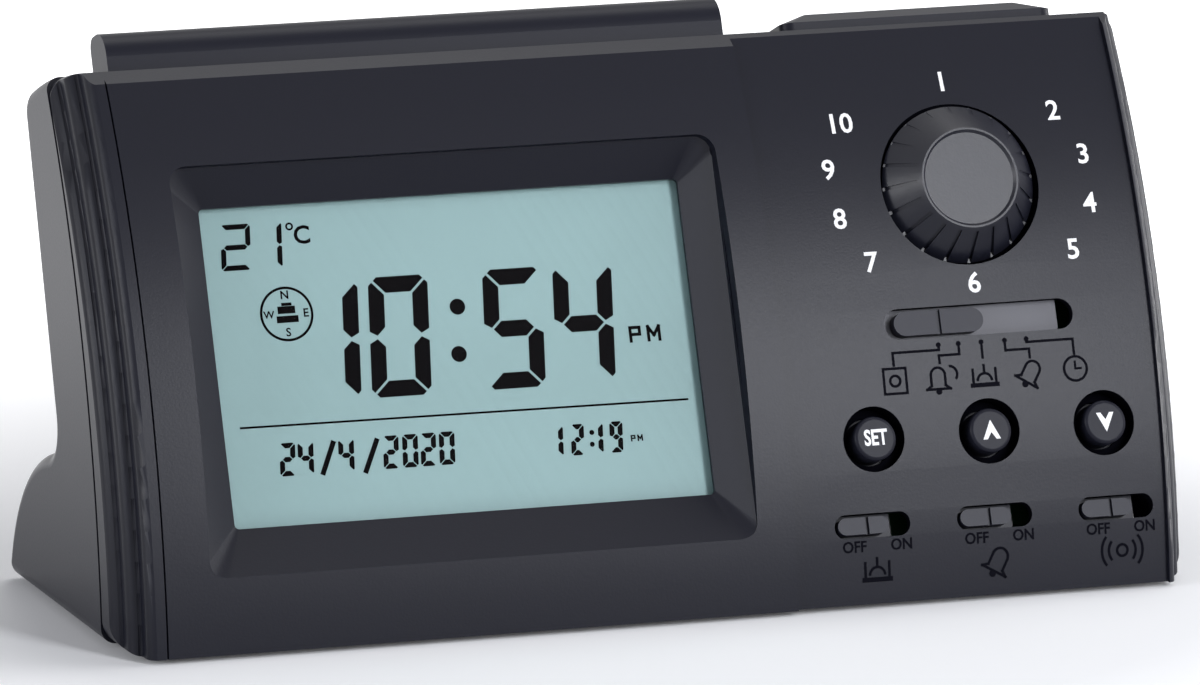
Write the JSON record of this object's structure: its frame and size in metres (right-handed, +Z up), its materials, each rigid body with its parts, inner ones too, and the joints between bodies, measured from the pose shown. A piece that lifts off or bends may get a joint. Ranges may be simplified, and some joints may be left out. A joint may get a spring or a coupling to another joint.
{
  "type": "azan clock",
  "caption": "Leaning desk azan clock with a framed digital display, selector knob, mode and on/off sliders, round buttons, and pressable snooze and stop keys on top.",
  "frame": {"origin": "middle of the bounding box in plan, at the underside of the rubber feet", "axes": "+Z up, display facing -Y, +X to the right as seen from the front"},
  "size_m": [0.18, 0.0668, 0.0928],
  "materials": {
    "case": "fine moulded texture",
    "clear": "clear",
    "lcd": "grey-green display",
    "guide": "milky",
    "white": "smooth",
    "black": "smooth",
    "board": "solder mask",
    "chip": "smooth",
    "strip": "smooth",
    "key": "smooth",
    "knob": "smooth",
    "slider": "smooth",
    "shutter": "smooth",
    "steel": "plain",
    "magnet": "plain",
    "paper": "pressed paper",
    "cell": "wrapped",
    "nickel": "plated",
    "rubber": "soft",
    "brass": "plain"
  },
  "bodies": {
    "case": {"front_shell": "case", "rear_shell": "case", "display_lens": "clear", "lcd_panel": "lcd", "light_guide": "guide", "backlight_led": "white", "zebra_strip": "strip", "lcd_frame": "white", "main_board": "board", "control_board": "board", "controller_chip": "chip", "temperature_sensor": "chip", "ribbon_cable": "white", "board_screws": "steel", "rotary_switch": "black", "button_switches": "steel", "mode_switch": "steel", "slide_switches": "steel", "top_key_board": "board", "snooze_switches": "steel", "stop_switch": "steel", "speaker_frame": "steel", "speaker_cone": "paper", "speaker_magnet": "magnet", "speaker_clamps": "steel", "speaker_screws": "steel", "case_screws": "steel", "batteries": "cell", "battery_box": "black", "battery_contacts": "nickel", "battery_springs": "nickel", "rubber_feet": "rubber"},
    "snooze_bar": {"snooze_bar": "key", "snooze_plungers": "black"},
    "stop_key": {"stop_key": "key", "stop_plunger": "black"},
    "set_button": {"set_button": "key", "set_plunger": "black"},
    "up_button": {"up_button": "key", "up_plunger": "black"},
    "down_button": {"down_button": "key", "down_plunger": "black"},
    "selector": {"selector_knob": "knob", "rotary_shaft": "steel"},
    "mode_slider": {"mode_slider": "slider", "mode_shutter": "shutter", "mode_lever": "black"},
    "azan_slider": {"azan_slider": "slider"},
    "alarm_slider": {"alarm_slider": "slider"},
    "snooze_slider": {"snooze_slider": "slider"},
    "battery_door": {"battery_door": "case"}
  },
  "joints": [
    {"name": "snooze_bar_press", "type": "slide", "parent": "case", "child": "snooze_bar", "axis": [0, -0.3665, -0.9304], "range_m": [0, 0.0012], "stiffness_N_per_m": 900, "springref_m": -0.001},
    {"name": "stop_key_press", "type": "slide", "parent": "case", "child": "stop_key", "axis": [0, -0.3665, -0.9304], "range_m": [0, 0.0012], "stiffness_N_per_m": 700, "springref_m": -0.001},
    {"name": "set_button_press", "type": "slide", "parent": "case", "child": "set_button", "axis": [0, 0.9304, -0.3665], "range_m": [0, 0.0009], "stiffness_N_per_m": 500, "springref_m": -0.001},
    {"name": "up_button_press", "type": "slide", "parent": "case", "child": "up_button", "axis": [0, 0.9304, -0.3665], "range_m": [0, 0.0009], "stiffness_N_per_m": 500, "springref_m": -0.001},
    {"name": "down_button_press", "type": "slide", "parent": "case", "child": "down_button", "axis": [0, 0.9304, -0.3665], "range_m": [0, 0.0009], "stiffness_N_per_m": 500, "springref_m": -0.001},
    {"name": "selector_turn", "type": "hinge", "parent": "case", "child": "selector", "pos_m": [0.0556, -0.0159, 0.06509], "axis": [0, 0.9304, -0.3665], "range_deg": [0, 324]},
    {"name": "mode_slide", "type": "slide", "parent": "case", "child": "mode_slider", "axis": [1, 0, 0], "range_m": [0, 0.0148]},
    {"name": "azan_switch_slide", "type": "slide", "parent": "case", "child": "azan_slider", "axis": [1, 0, 0], "range_m": [0, 0.0033]},
    {"name": "alarm_switch_slide", "type": "slide", "parent": "case", "child": "alarm_slider", "axis": [1, 0, 0], "range_m": [0, 0.0033]},
    {"name": "snooze_switch_slide", "type": "slide", "parent": "case", "child": "snooze_slider", "axis": [1, 0, 0], "range_m": [0, 0.0033]},
    {"name": "battery_door_hinge", "type": "hinge", "parent": "case", "child": "battery_door", "pos_m": [0, -0.01002, 0.0018], "axis": [-1, 0, 0], "range_deg": [0, 70]}
  ]
}
